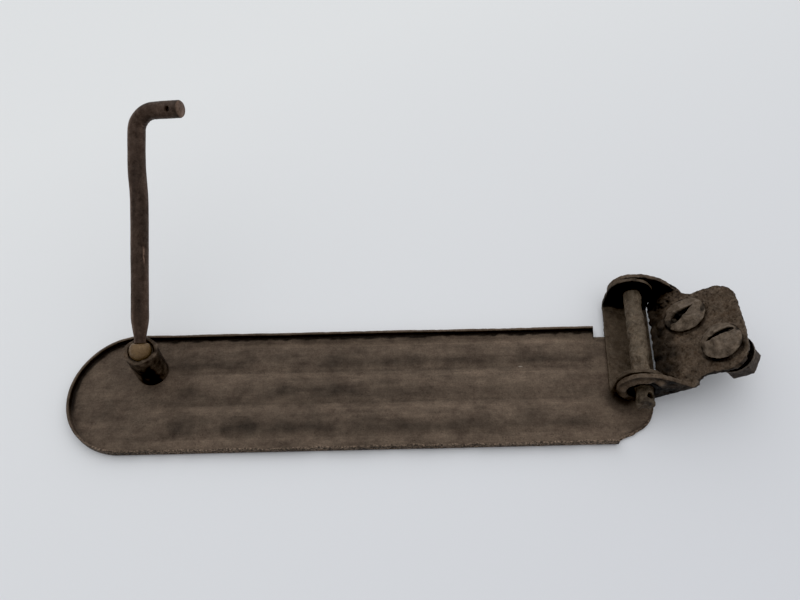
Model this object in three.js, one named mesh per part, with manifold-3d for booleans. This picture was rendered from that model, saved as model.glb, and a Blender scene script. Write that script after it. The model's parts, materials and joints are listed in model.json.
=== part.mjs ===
// Spare tire carrier: a pressed steel arm that carries the tire, a hinge at one end that bolts to
// the vehicle frame, and a ball-ended hook rod at the other end that holds the arm up.
// Units are millimetres, +Z is up. The origin is on the underside of the arm, at the centre of its
// round end. +X runs along the arm toward the hinge.
import * as THREE from 'three';
import { mergeVertices } from 'three/addons/utils/BufferGeometryUtils.js';
import Module from 'manifold-3d';

const wasm = await Module();
wasm.setup();

// ---------------------------------------------------------------- driving dimensions
const RAD = Math.PI / 180;
const GAP = 0.3; // clearance where pieces meet without being joined
const BAR_SIDES = 24; // facets round a bar

// arm
const ARM_WIDTH = 110;
const ROUND_END_REACH = 53; // how far the round end reaches past its centre
const SHEET = 2; // thickness of the pressed sheet
const RIM_HEIGHT = 8;
const FAR_RIM_END = 400;
const NEAR_RIM_END = 403;
const ARM_END = 447; // tip of the sheet, under the yoke
const NOTCH_DEPTH = 8.5; // how far the far edge steps in past its rim
const ARCH_PITCH = 30; // spacing of the stiffening arches pressed along the arm
const ARCH_WIDTH = 29;
const ARCH_HEIGHT = 2.8;
const FIRST_CREST = 33; // crest of the arch nearest the far rim
const ARCH_STARTS = [27, 27, 4]; // one for each arch; the first two stop short of the socket
const ARCH_END = 398;
const ARCH_FADE = 30; // length over which an arch rises from the flat sheet

// socket, seat and ball
const SOCKET_X = 13.5;
const SOCKET_Y = 21.6;
const SOCKET_OUTER_R = 13.35; // 3/4 inch pipe
const SOCKET_BORE_R = 10.3;
const SOCKET_TOP = 39.3; // height of the mouth above the ground face
const BALL_R = 8.9;
const BALL_DROP = 1.3; // ball centre below the mouth
const BALL_FLAT = 6.2; // ball centre to the flat that the rod's shoulder faces
const SEAT_R = 10;

// hook rod
const ROD_R = 7.15; // 9/16 inch bar
const ROD_LEAN = 54; // degrees from upright, neck against the mouth
const ROD_HEADING = 88; // compass direction of the lean, degrees from +X
const ROD_TURN = -103; // turn of the hook about the rod's own length, degrees
const ROD_LENGTH = 196.5; // ball centre to the centreline of the hook's leg
const LEG_LENGTH = 38.5; // rod centreline to the end of the leg
const BEND_R = 16;
const ROD_SET = 2.4; // sideways set of the rod's upper part
const NECK_R = 4.6;
const SPIGOT_R = 4;
const SPIGOT_BOTTOM = -3; // foot of the spigot inside the ball
const COTTER_R = 2.4;
const LEG_HOLE_TILT = 9; // turn of the leg's hole about the leg, degrees
const LEG_HOLE_FROM_END = 9;

// hinge
const HINGE_X = 427.2;
const HINGE_SKEW = -6; // the hinge is this far out of square with the arm, degrees
const PIN_HEIGHT = 23.4;
const PIN_R = 7.95; // 5/8 inch bar
const PIN_HOLE_R = 8.2;
const PIN_NEAR_END = -32;
const PIN_HEAD_R = 12;
const PIN_HEAD_THICK = 5;
const PIN_HOLE_FROM_END = 6.6;
const YOKE_THICK = 4;
const YOKE_INSIDE_NEAR = -8.9; // inner face of the yoke's near ear
const YOKE_INSIDE_FAR = 76.2;
const YOKE_EAR_R = 19.6;
const YOKE_EAR_OFFSET = -2.8; // ear centre to pin, across the hinge
const YOKE_EAR_RISE = 1.5; // ear centre to pin, upward

// frame bracket
const BRACKET_TILT = 42; // rise of the bracket's plate above level, against its stop, degrees
const PLATE_TOP = -17.6; // plate's upper face, measured down from the pin
const PLATE_THICK = 5;
const BRACKET_EAR_THICK = 4.5;
const BRACKET_EAR_R = 21;
const PLATE_SHOULDER = 7.1; // the plate's two corners that come to rest against the yoke's ears
const PLATE_NEAR_EDGE = 5.3; // its edge between the shoulders, which passes between the ears
const PLATE_FAR_EDGE = 81.8;

// bolts through the bracket
const BOLT_R = 7.9;
const BOLT_HOLE_R = 8.3;
const BOLT_HEAD_R = 15.8;
const BOLT_HEAD_RISE = 6.6;
const BOLT_HEAD_RIM = 2.2;
const BOLT_END = -58.3; // lower end of the bolts, measured down from the pin
const SLOT_WIDTH = 3;
const SLOT_DEPTH = 3.4;
const WASHER_R = 17;
const WASHER_THICK = 3;
const NUT_ACROSS_FLATS = 28.6;
const NUT_THICK = 14;
const BOLTS = [
  // place of each bolt on the plate, turn of its slot in degrees, and the thickness it clamps
  { name: '1', along: 36.6, across: 50.8, slot: 27, grip: 11 },
  { name: '2', along: 61.5, across: 16.4, slot: 16, grip: 17.5 },
];

// ---------------------------------------------------------------- geometry helpers
function toSolid(geometry) {
  const bare = geometry.clone();
  bare.deleteAttribute('normal');
  bare.deleteAttribute('uv');
  const merged = mergeVertices(bare, 1e-4);
  const mesh = new wasm.Mesh({
    numProp: 3,
    vertProperties: new Float32Array(merged.attributes.position.array),
    triVerts: new Uint32Array(merged.index.array),
  });
  return new wasm.Manifold(mesh);
}

function toGeometry(solid) {
  const mesh = solid.getMesh();
  const geometry = new THREE.BufferGeometry();
  geometry.setAttribute('position', new THREE.BufferAttribute(new Float32Array(mesh.vertProperties), 3));
  geometry.setIndex(new THREE.BufferAttribute(new Uint32Array(mesh.triVerts), 1));
  geometry.computeVertexNormals();
  return geometry;
}

function cut(geometry, ...tools) {
  return toGeometry(tools.reduce((solid, tool) => solid.subtract(toSolid(tool)), toSolid(geometry)));
}

function join(geometry, ...others) {
  return toGeometry(others.reduce((solid, other) => solid.add(toSolid(other)), toSolid(geometry)));
}

function common(geometry, other) {
  return toGeometry(toSolid(geometry).intersect(toSolid(other)));
}

// An outline in the XY plane, extruded upward from one height to another.
function slab(shape, bottom, top, curveSegments = 12) {
  const options = { depth: top - bottom, bevelEnabled: false, curveSegments };
  return new THREE.ExtrudeGeometry(shape, options).translate(0, 0, bottom);
}

// An outline drawn in XZ, extruded along Y.
function slabAlongY(shape, start, end, curveSegments = 16) {
  return slab(shape, 0, end - start, curveSegments).rotateX(Math.PI / 2).translate(0, end, 0);
}

// An outline drawn in YZ, extruded along X.
function slabAlongX(shape, start, end) {
  const turn = new THREE.Matrix4().set(0, 0, 1, 0, 1, 0, 0, 0, 0, 1, 0, 0, 0, 0, 0, 1);
  return slab(shape, start, end).applyMatrix4(turn);
}

function polygon(points) {
  return new THREE.Shape(points.map(([x, y]) => new THREE.Vector2(x, y)));
}

// A solid of revolution about Z from [radius, height] pairs.
function turned(profile, sides = BAR_SIDES) {
  const points = profile.map(([radius, height]) => new THREE.Vector2(radius, height));
  return new THREE.LatheGeometry(points, sides).rotateX(Math.PI / 2);
}

// Points of a circular arc as [radius, height] pairs, angles in degrees up from level.
function arcProfile(radius, from, to, steps, centreHeight = 0) {
  return Array.from({ length: steps + 1 }, (_, i) => {
    const angle = (from + ((to - from) * i) / steps) * RAD;
    return [Math.max(0, radius * Math.cos(angle)), centreHeight + radius * Math.sin(angle)];
  });
}

function rodTool(radius, length) {
  return new THREE.CylinderGeometry(radius, radius, length, BAR_SIDES);
}

function subPart(name, geometry, color, roughness, metalness) {
  const mesh = new THREE.Mesh(geometry, new THREE.MeshStandardMaterial({ color, roughness, metalness }));
  mesh.name = name;
  return mesh;
}

// ---------------------------------------------------------------- arm pan
function sheetOutline() {
  const half = ARM_WIDTH / 2;
  const outline = new THREE.Shape();
  outline.moveTo(FAR_RIM_END, half);
  outline.lineTo(0, half);
  outline.absellipse(0, 0, ROUND_END_REACH, half, Math.PI / 2, 1.5 * Math.PI, false);
  outline.lineTo(NEAR_RIM_END, -half);
  outline.lineTo(NEAR_RIM_END + 1, -half + 3.5);
  outline.quadraticCurveTo(NEAR_RIM_END + 20, -half + 8, ARM_END - 14, -34.5);
  outline.quadraticCurveTo(ARM_END - 8, -29, ARM_END - 9, -24.5);
  outline.lineTo(ARM_END - 6, -14);
  outline.lineTo(ARM_END, half - NOTCH_DEPTH);
  outline.lineTo(FAR_RIM_END, half - NOTCH_DEPTH);
  return outline;
}

function rimOutline() {
  const half = ARM_WIDTH / 2;
  const rim = new THREE.Shape();
  rim.moveTo(FAR_RIM_END, half);
  rim.lineTo(0, half);
  rim.absellipse(0, 0, ROUND_END_REACH, half, Math.PI / 2, 1.5 * Math.PI, false);
  rim.lineTo(NEAR_RIM_END, -half);
  rim.lineTo(NEAR_RIM_END, -half + SHEET);
  rim.lineTo(0, -half + SHEET);
  rim.absellipse(0, 0, ROUND_END_REACH - SHEET, half - SHEET, 1.5 * Math.PI, Math.PI / 2, true);
  rim.lineTo(FAR_RIM_END, half - SHEET);
  return rim;
}

// One long arch with ends that fade into the sheet, standing on the given level.
function archBar(crestY, start, level) {
  const across = 10; // facets across the arch
  const stations = 6; // sections along each fading end
  const rings = [];
  for (let end = 0; end < 2; end += 1) {
    for (let i = 0; i <= stations; i += 1) {
      const step = end === 0 ? i / stations : 1 - i / stations;
      const fade = 0.5 - 0.5 * Math.cos(Math.PI * step);
      const x = end === 0 ? start + ARCH_FADE * step : ARCH_END - ARCH_FADE * step;
      rings.push({ x, height: ARCH_HEIGHT * fade });
    }
  }
  const positions = [];
  rings.forEach(({ x, height }) => {
    for (let j = 0; j <= across; j += 1) {
      const side = (2 * j) / across - 1;
      positions.push(x, crestY + (side * ARCH_WIDTH) / 2, level + height * (1 - side * side));
    }
    positions.push(x, crestY + ARCH_WIDTH / 2, level - SHEET / 2);
    positions.push(x, crestY - ARCH_WIDTH / 2, level - SHEET / 2);
  });
  const ringSize = across + 3;
  const faces = [];
  for (let i = 0; i < rings.length - 1; i += 1) {
    for (let j = 0; j < ringSize; j += 1) {
      const a = i * ringSize + j;
      const b = i * ringSize + ((j + 1) % ringSize);
      faces.push(a, a + ringSize, b, b, a + ringSize, b + ringSize);
    }
  }
  const last = (rings.length - 1) * ringSize;
  const foot = ringSize - 1;
  for (let j = 0; j < ringSize - 2; j += 1) {
    faces.push(foot, j, j + 1);
    faces.push(last + foot, last + j + 1, last + j);
  }
  const geometry = new THREE.BufferGeometry();
  geometry.setAttribute('position', new THREE.Float32BufferAttribute(positions, 3));
  geometry.setAttribute('normal', new THREE.Float32BufferAttribute(positions.length, 3));
  geometry.setAttribute('uv', new THREE.Float32BufferAttribute((positions.length / 3) * 2, 2));
  geometry.setIndex(faces);
  return geometry;
}

function armPan() {
  const arches = (level) => ARCH_STARTS.map((start, i) => archBar(FIRST_CREST - i * ARCH_PITCH, start, level));
  const raised = arches(SHEET);
  const hollows = arches(0);
  const tray = join(slab(sheetOutline(), 0, SHEET, 20), slab(rimOutline(), 0, RIM_HEIGHT, 20), ...raised);
  return subPart('arm_pan', cut(tray, ...hollows), 0x4b4039, 0.7, 0.35);
}

// ---------------------------------------------------------------- socket, seat and ball
function socketTube() {
  const height = SOCKET_TOP - SHEET;
  const profile = [
    [SOCKET_BORE_R, 0],
    [SOCKET_OUTER_R, 0],
    [SOCKET_OUTER_R, height],
    [SOCKET_BORE_R, height],
    [SOCKET_BORE_R, 0],
  ];
  const tube = subPart('socket_tube', turned(profile, 40), 0x453a31, 0.75, 0.3);
  tube.position.set(SOCKET_X, SOCKET_Y, SHEET);
  return tube;
}

function ballSeat() {
  const ballHeight = SOCKET_TOP - BALL_DROP;
  const pocketR = BALL_R + GAP;
  const rimDrop = 12; // degrees below the ball's middle where the pocket ends
  const rim = pocketR * Math.sin(rimDrop * RAD);
  const profile = [
    [0, SHEET + GAP],
    [SEAT_R, SHEET + GAP],
    [SEAT_R, ballHeight - rim],
    ...arcProfile(pocketR, -rimDrop, -90, 7, ballHeight),
  ];
  const seat = subPart('ball_seat', turned(profile, 32), 0x5a4a36, 0.6, 0.3);
  seat.position.set(SOCKET_X, SOCKET_Y, 0);
  return seat;
}

// The ball and the rod share a frame: its origin is the ball's centre and +Z runs up the rod.
function rodBall() {
  const flatAngle = Math.asin(BALL_FLAT / BALL_R) / RAD;
  const profile = [
    ...arcProfile(BALL_R, -90, flatAngle, 12),
    [SPIGOT_R + GAP, BALL_FLAT],
    [SPIGOT_R + GAP, SPIGOT_BOTTOM - GAP],
    [0, SPIGOT_BOTTOM - GAP],
  ];
  return subPart('rod_ball', turned(profile, 28), 0x8a6a42, 0.45, 0.4);
}

function rodPath() {
  const straightStart = 26;
  const setStart = 116;
  const setEnd = 160;
  const setMiddle = (setStart + setEnd) / 2;
  const bendStart = ROD_LENGTH - BEND_R;
  const legStart = BEND_R - ROD_SET;
  const at = (x, z) => new THREE.Vector3(x, 0, z);
  const path = new THREE.CurvePath();
  path.add(new THREE.LineCurve3(at(0, straightStart), at(0, setStart)));
  path.add(new THREE.CubicBezierCurve3(
    at(0, setStart), at(0, setMiddle), at(-ROD_SET, setMiddle), at(-ROD_SET, setEnd),
  ));
  path.add(new THREE.LineCurve3(at(-ROD_SET, setEnd), at(-ROD_SET, bendStart)));
  path.add(new THREE.CubicBezierCurve3(
    at(-ROD_SET, bendStart), at(-ROD_SET, bendStart + 0.55 * BEND_R),
    at(legStart - 0.55 * BEND_R, ROD_LENGTH), at(legStart, ROD_LENGTH),
  ));
  path.add(new THREE.LineCurve3(at(legStart, ROD_LENGTH), at(LEG_LENGTH, ROD_LENGTH)));
  return path;
}

function hookRod() {
  const section = polygon(Array.from({ length: BAR_SIDES }, (_, i) => {
    const angle = (2 * Math.PI * i) / BAR_SIDES;
    return [ROD_R * Math.cos(angle), ROD_R * Math.sin(angle)];
  }));
  const bar = new THREE.ExtrudeGeometry(section, { steps: 46, bevelEnabled: false, extrudePath: rodPath() });
  const neck = turned([
    [0, SPIGOT_BOTTOM],
    [SPIGOT_R, SPIGOT_BOTTOM],
    [SPIGOT_R, BALL_FLAT + GAP],
    [NECK_R, BALL_FLAT + GAP],
    [NECK_R, 9.5],
    [5, 13],
    [5.7, 17],
    [6.5, 21.5],
    [7, 25],
    [ROD_R - 0.01, 29],
    [0, 29],
  ]);
  const cotterHole = rodTool(COTTER_R, 4 * ROD_R).rotateX(LEG_HOLE_TILT * RAD);
  cotterHole.translate(LEG_LENGTH - LEG_HOLE_FROM_END, 0, ROD_LENGTH);
  return subPart('hook_rod', cut(join(bar, neck), cotterHole), 0x3c322a, 0.75, 0.3);
}

function leaningRod() {
  const rod = hookRod();
  rod.rotation.z = ROD_TURN * RAD;
  const lean = new THREE.Group();
  lean.rotation.set(0, ROD_LEAN * RAD, 0);
  lean.add(rodBall(), rod);
  const heading = new THREE.Group();
  heading.position.set(SOCKET_X, SOCKET_Y, SOCKET_TOP - BALL_DROP);
  heading.rotation.z = ROD_HEADING * RAD;
  heading.add(lean);
  return heading;
}

// ---------------------------------------------------------------- hinge
// The hinge frame has its origin on the pin's centreline, with Y along the pin.
function yokeSideView() {
  const base = SHEET + GAP - PIN_HEIGHT;
  const left = YOKE_EAR_OFFSET - YOKE_EAR_R;
  const right = YOKE_EAR_OFFSET + YOKE_EAR_R;
  const side = new THREE.Shape();
  side.moveTo(left, base);
  side.lineTo(right, base);
  side.lineTo(right, YOKE_EAR_RISE);
  side.absarc(YOKE_EAR_OFFSET, YOKE_EAR_RISE, YOKE_EAR_R, 0, Math.PI, false);
  side.lineTo(left, base);
  return side;
}

function yokeEndView() {
  const base = SHEET + GAP - PIN_HEIGHT;
  const top = YOKE_EAR_RISE + YOKE_EAR_R + 1;
  const near = YOKE_INSIDE_NEAR;
  const far = YOKE_INSIDE_FAR;
  const inner = 3; // inside bend radius
  const outer = inner + YOKE_THICK;
  const floor = base + YOKE_THICK;
  const end = new THREE.Shape();
  end.moveTo(near - YOKE_THICK, top);
  end.lineTo(near - YOKE_THICK, base + outer);
  end.absarc(near + inner, base + outer, outer, Math.PI, 1.5 * Math.PI, false);
  end.lineTo(far - inner, base);
  end.absarc(far - inner, base + outer, outer, 1.5 * Math.PI, 2 * Math.PI, false);
  end.lineTo(far + YOKE_THICK, top);
  end.lineTo(far, top);
  end.lineTo(far, floor + inner);
  end.absarc(far - inner, floor + inner, inner, 0, 1.5 * Math.PI, true);
  end.lineTo(near + inner, floor);
  end.absarc(near + inner, floor + inner, inner, 1.5 * Math.PI, Math.PI, true);
  end.lineTo(near, top);
  return end;
}

function hingeYoke() {
  const reach = YOKE_EAR_R + 5;
  const bent = slabAlongX(yokeEndView(), YOKE_EAR_OFFSET - reach, YOKE_EAR_OFFSET + reach);
  const rounded = slabAlongY(yokeSideView(), YOKE_INSIDE_NEAR - 10, YOKE_INSIDE_FAR + 10);
  const pinHole = rodTool(PIN_HOLE_R, 300);
  return subPart('hinge_yoke', cut(common(bent, rounded), pinHole), 0x3c3329, 0.75, 0.3);
}

function bracketEarFaces() {
  const far = YOKE_INSIDE_FAR + YOKE_THICK + GAP;
  const near = YOKE_INSIDE_NEAR - YOKE_THICK - GAP;
  return { far, near, farOut: far + BRACKET_EAR_THICK, nearOut: near - BRACKET_EAR_THICK };
}

function hingePin() {
  const headFace = bracketEarFaces().farOut + GAP;
  const chamfer = 1;
  const profile = [
    [0, PIN_NEAR_END],
    [PIN_R - chamfer, PIN_NEAR_END],
    [PIN_R, PIN_NEAR_END + chamfer],
    [PIN_R, headFace],
    [PIN_HEAD_R, headFace],
    [PIN_HEAD_R, headFace + PIN_HEAD_THICK - chamfer],
    [PIN_HEAD_R - chamfer, headFace + PIN_HEAD_THICK],
    [0, headFace + PIN_HEAD_THICK],
  ];
  const bar = turned(profile).rotateX(-Math.PI / 2);
  const cotterHole = rodTool(COTTER_R, 4 * PIN_R).rotateX(Math.PI / 2).rotateY(24 * RAD);
  cotterHole.translate(0, PIN_NEAR_END + PIN_HOLE_FROM_END, 0);
  return subPart('hinge_pin', cut(bar, cotterHole), 0x584c41, 0.65, 0.35);
}

// ---------------------------------------------------------------- frame bracket
// The bracket frame has its origin on the pin, X along the plate and Z square to it.
function plateOutline() {
  const { farOut, nearOut } = bracketEarFaces();
  const waist = 71; // far edge of the plate past its ear
  const nearEdge = -8.5; // near edge of the plate past its ear
  const outline = new THREE.Shape();
  outline.moveTo(PLATE_SHOULDER, nearOut);
  outline.lineTo(33.5, nearOut);
  outline.quadraticCurveTo(37, -15.5, 38.5, -12);
  outline.quadraticCurveTo(41, nearEdge, 50, nearEdge + 0.2);
  outline.quadraticCurveTo(56, nearEdge, 62, nearEdge - 1.5);
  outline.quadraticCurveTo(70, nearEdge - 0.5, 74.5, -4.5);
  outline.quadraticCurveTo(PLATE_FAR_EDGE - 1.3, 0, PLATE_FAR_EDGE - 0.8, 9);
  outline.quadraticCurveTo(PLATE_FAR_EDGE, 33, 78.6, 57);
  outline.quadraticCurveTo(77, 66, 69, 69.5);
  outline.quadraticCurveTo(61, 73.5, 52, waist);
  outline.quadraticCurveTo(39, 70.5, 36, 76);
  outline.quadraticCurveTo(34, 81, 31, farOut);
  outline.lineTo(PLATE_SHOULDER, farOut);
  outline.lineTo(PLATE_SHOULDER, YOKE_INSIDE_FAR - 0.8);
  outline.lineTo(PLATE_NEAR_EDGE, YOKE_INSIDE_FAR - 1.6);
  outline.lineTo(PLATE_NEAR_EDGE, YOKE_INSIDE_NEAR + 1.6);
  outline.lineTo(PLATE_SHOULDER, YOKE_INSIDE_NEAR + 0.8);
  return outline;
}

function bracketEarOutline(footEnd) {
  const bottom = PLATE_TOP - PLATE_THICK;
  const leave = 50 * RAD; // angle at which the flank leaves the round top
  const ear = new THREE.Shape();
  ear.moveTo(5, bottom);
  ear.lineTo(footEnd, bottom);
  ear.lineTo(footEnd, PLATE_TOP);
  ear.lineTo(27, -3);
  ear.quadraticCurveTo(22.5, 9, BRACKET_EAR_R * Math.cos(leave), BRACKET_EAR_R * Math.sin(leave));
  ear.absarc(0, 0, BRACKET_EAR_R, leave, 1.25 * Math.PI, false);
  ear.quadraticCurveTo(-6, bottom + 0.5, 5, bottom);
  return ear;
}

function frameBracket() {
  const { far, near, farOut, nearOut } = bracketEarFaces();
  const plate = slab(plateOutline(), PLATE_TOP - PLATE_THICK, PLATE_TOP, 8);
  const farEar = slabAlongY(bracketEarOutline(31), far, farOut);
  const nearEar = slabAlongY(bracketEarOutline(34), nearOut, near);
  const pinHole = rodTool(PIN_HOLE_R, 300);
  const boltHoles = BOLTS.map(({ along, across }) =>
    rodTool(BOLT_HOLE_R, 30).rotateX(Math.PI / 2).translate(along, across, PLATE_TOP));
  const blank = join(plate, farEar, nearEar);
  return subPart('frame_bracket', cut(blank, pinHole, ...boltHoles), 0x38291b, 0.85, 0.25);
}

// ---------------------------------------------------------------- bolts
function frameBolt({ name, slot }) {
  const domeR = (BOLT_HEAD_R ** 2 + (BOLT_HEAD_RISE - BOLT_HEAD_RIM) ** 2) / (2 * (BOLT_HEAD_RISE - BOLT_HEAD_RIM));
  const edgeAngle = Math.acos(BOLT_HEAD_R / domeR) / RAD;
  const seat = PLATE_TOP + GAP;
  const profile = [
    [0, BOLT_END],
    [BOLT_R - 1, BOLT_END],
    [BOLT_R, BOLT_END + 1],
    [BOLT_R, seat],
    [BOLT_HEAD_R, seat],
    ...arcProfile(domeR, edgeAngle, 90, 6, seat + BOLT_HEAD_RISE - domeR),
  ];
  const slotTool = new THREE.BoxGeometry(4 * BOLT_HEAD_R, SLOT_WIDTH, 2 * SLOT_DEPTH);
  slotTool.translate(0, 0, seat + BOLT_HEAD_RISE).rotateZ(slot * RAD);
  return subPart(`frame_bolt_${name}`, cut(turned(profile, 32), slotTool), 0x5a5148, 0.6, 0.4);
}

function boltWasher({ name, grip }) {
  const top = PLATE_TOP - PLATE_THICK - grip;
  const profile = [
    [BOLT_HOLE_R, top - WASHER_THICK],
    [WASHER_R, top - WASHER_THICK],
    [WASHER_R, top],
    [BOLT_HOLE_R, top],
    [BOLT_HOLE_R, top - WASHER_THICK],
  ];
  return subPart(`bolt_washer_${name}`, turned(profile), 0x483f39, 0.65, 0.4);
}

function boltNut({ name, grip }) {
  const top = PLATE_TOP - PLATE_THICK - grip - WASHER_THICK - GAP;
  const cornerR = NUT_ACROSS_FLATS / Math.sqrt(3);
  const hex = polygon(Array.from({ length: 6 }, (_, i) => {
    const angle = 60 * i * RAD;
    return [cornerR * Math.cos(angle), cornerR * Math.sin(angle)];
  }));
  const corner = cornerR - 1.4; // corners are turned off at both faces
  const blank = turned([
    [0, top - NUT_THICK],
    [corner, top - NUT_THICK],
    [cornerR + 0.2, top - NUT_THICK + 1.4],
    [cornerR + 0.2, top - 1.4],
    [corner, top],
    [0, top],
  ], 24);
  const bore = rodTool(BOLT_R + GAP, 200).rotateX(Math.PI / 2);
  const nut = cut(common(slab(hex, top - NUT_THICK, top), blank), bore);
  return subPart(`bolt_nut_${name}`, nut, 0x483f39, 0.65, 0.4);
}

function boltedBracket() {
  const bracket = new THREE.Group();
  bracket.rotation.y = -BRACKET_TILT * RAD;
  bracket.add(frameBracket());
  BOLTS.forEach((bolt) => {
    const set = new THREE.Group();
    set.position.set(bolt.along, bolt.across, 0);
    set.add(frameBolt(bolt), boltWasher(bolt), boltNut(bolt));
    bracket.add(set);
  });
  return bracket;
}

function hinge() {
  const group = new THREE.Group();
  group.position.set(HINGE_X, 0, PIN_HEIGHT);
  group.rotation.z = HINGE_SKEW * RAD;
  group.add(hingeYoke(), hingePin(), boltedBracket());
  return group;
}

// ---------------------------------------------------------------- assembly
const carrier = new THREE.Group();
carrier.add(armPan(), socketTube(), ballSeat(), leaningRod(), hinge());

export default carrier;
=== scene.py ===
"""Looks of a spare tire carrier: worn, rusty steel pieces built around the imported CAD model.

Lengths are written in millimetres and turned into metres by MM. The frame is the CAD's own: the
origin is on the underside of the arm at the centre of its round end, +X runs to the hinge, +Z is up.
"""

import json
import math

import bmesh
import bpy
import numpy as np
from mathutils import Matrix, Vector, noise


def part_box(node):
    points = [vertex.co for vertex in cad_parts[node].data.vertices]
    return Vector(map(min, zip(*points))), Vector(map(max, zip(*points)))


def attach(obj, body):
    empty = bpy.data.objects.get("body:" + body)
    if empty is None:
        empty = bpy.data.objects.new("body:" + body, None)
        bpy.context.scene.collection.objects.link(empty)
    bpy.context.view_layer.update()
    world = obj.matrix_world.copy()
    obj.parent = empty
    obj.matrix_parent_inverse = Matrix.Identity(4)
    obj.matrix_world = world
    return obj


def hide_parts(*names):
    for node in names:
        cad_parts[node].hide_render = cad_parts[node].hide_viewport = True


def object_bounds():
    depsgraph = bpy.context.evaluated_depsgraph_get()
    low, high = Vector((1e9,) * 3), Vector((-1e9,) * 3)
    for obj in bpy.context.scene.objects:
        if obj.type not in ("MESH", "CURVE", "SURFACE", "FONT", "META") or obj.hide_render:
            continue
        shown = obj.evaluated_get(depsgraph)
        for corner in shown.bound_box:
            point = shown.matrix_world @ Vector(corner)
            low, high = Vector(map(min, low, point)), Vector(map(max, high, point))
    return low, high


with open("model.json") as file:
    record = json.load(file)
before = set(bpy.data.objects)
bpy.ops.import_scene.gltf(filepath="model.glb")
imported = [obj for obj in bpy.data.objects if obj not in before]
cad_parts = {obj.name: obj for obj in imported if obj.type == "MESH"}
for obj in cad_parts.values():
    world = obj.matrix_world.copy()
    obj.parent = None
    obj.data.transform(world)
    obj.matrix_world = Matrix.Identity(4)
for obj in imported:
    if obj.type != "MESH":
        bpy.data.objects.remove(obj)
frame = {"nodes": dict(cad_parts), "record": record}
CAD_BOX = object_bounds()

MM = 0.001
RAD = math.pi / 180
JOINTS = {joint["name"]: joint for joint in frame["record"]["behaviour"]["joints"]}
BALL_CENTRE = np.array(JOINTS["rod_lean"]["pos_m"]) / MM
HINGE = np.array(JOINTS["frame_hinge"]["pos_m"]) / MM
ROD_AXIS = Vector(JOINTS["rod_spin"]["axis"]).normalized()
LEAN_AXIS = Vector(JOINTS["rod_lean"]["axis"]).normalized()
PIN_AXIS = Vector(JOINTS["pin_turn"]["axis"]).normalized()


# ---------------------------------------------------------------- helpers: meshes
def new_piece(name, verts_mm, faces):
    """A mesh object from points in millimetres."""
    mesh = bpy.data.meshes.new(name)
    mesh.from_pydata((np.asarray(verts_mm) * MM).tolist(), [], faces)
    mesh.validate()
    obj = bpy.data.objects.new(name, mesh)
    bpy.context.scene.collection.objects.link(obj)
    shade_smooth(obj)
    return obj


def shade_smooth(obj):
    """Smooth shading on every face."""
    obj.data.polygons.foreach_set("use_smooth", [True] * len(obj.data.polygons))
    obj.data.update()


def points_of(obj):
    """The object's points as an array in millimetres."""
    flat = np.empty(len(obj.data.vertices) * 3)
    obj.data.vertices.foreach_get("co", flat)
    return flat.reshape(-1, 3) / MM


def set_points(obj, points):
    """Moves the object's points to the given places in millimetres."""
    obj.data.vertices.foreach_set("co", (points * MM).ravel())
    obj.data.update()


def normals_of(obj):
    """The unit normal at each point."""
    flat = np.empty(len(obj.data.vertices) * 3)
    obj.data.vertices.foreach_get("normal", flat)
    return flat.reshape(-1, 3)


def apply_modifiers(obj):
    """Replaces the object's mesh by what its modifiers make of it."""
    evaluated = obj.evaluated_get(bpy.context.evaluated_depsgraph_get())
    mesh = bpy.data.meshes.new_from_object(evaluated)
    obj.modifiers.clear()
    obj.data = mesh
    shade_smooth(obj)


def fine_copy(name, node, voxel, rounding):
    """A finely meshed copy of a CAD node with its edges rounded by smoothing."""
    obj = bpy.data.objects.new(name, frame["nodes"][node].data.copy())
    obj.data.materials.clear()
    bpy.context.scene.collection.objects.link(obj)
    remesh = obj.modifiers.new("remesh", "REMESH")
    remesh.mode = "VOXEL"
    remesh.voxel_size = voxel * MM * 1
    smooth = obj.modifiers.new("round", "SMOOTH")
    smooth.factor = 0.5
    smooth.iterations = rounding
    apply_modifiers(obj)
    return obj


def ramp(value, start, end):
    """0 at start and before it, 1 at end and past it, even in between. start may be the larger."""
    return np.clip((value - start) / (end - start), 0, 1)


def ripple(points, size, seed):
    """Smooth noise between -1 and 1 at each point, with bumps of about the given size."""
    shift = Vector((seed * 7.31, seed * 3.17, seed * 5.53))
    return np.array([noise.noise(Vector(p) / size + shift) for p in points.tolist()])


def weather(obj, seed, *layers, share=1.0, eat=False):
    """Moves the surface along its normals. Each layer is (size, depth) in millimetres. share scales
    the move point by point, and eat lets the surface only sink, as rust does."""
    points = points_of(obj)
    normals = normals_of(obj)
    lift = np.zeros(len(points))
    for index, (size, depth) in enumerate(layers):
        wave = ripple(points, size, seed + index)
        lift += depth * (np.minimum(wave, 0) if eat else wave)
    set_points(obj, points + normals * (lift * share)[:, None])


def paint(obj, name, values):
    """Stores one number for each point, for the material to read."""
    layer = obj.data.attributes.new(name, "FLOAT", "POINT")
    layer.data.foreach_set("value", np.ascontiguousarray(values, dtype=np.float32))


def lathe(name, profile, sides, centre):
    """A solid of revolution about Z. profile holds (radius, height) and starts and ends on the axis,
    or closes on itself when neither end is on it."""
    closed = profile[0][0] > 0
    verts = []
    rings = []
    for radius, height in profile:
        if radius <= 0:
            rings.append([len(verts)])
            verts.append((0, 0, height))
            continue
        rings.append(list(range(len(verts), len(verts) + sides)))
        for k in range(sides):
            angle = 2 * math.pi * k / sides
            verts.append((radius * math.cos(angle), radius * math.sin(angle), height))
    faces = []
    pairs = list(zip(rings, rings[1:])) + ([(rings[-1], rings[0])] if closed else [])
    for low, high in pairs:
        for k in range(sides):
            following = (k + 1) % sides
            if len(low) == 1:
                faces.append((low[0], high[following], high[k]))
            elif len(high) == 1:
                faces.append((low[k], low[following], high[0]))
            else:
                faces.append((low[k], low[following], high[following], high[k]))
    return new_piece(name, np.asarray(verts) + np.asarray(centre), faces)


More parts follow.
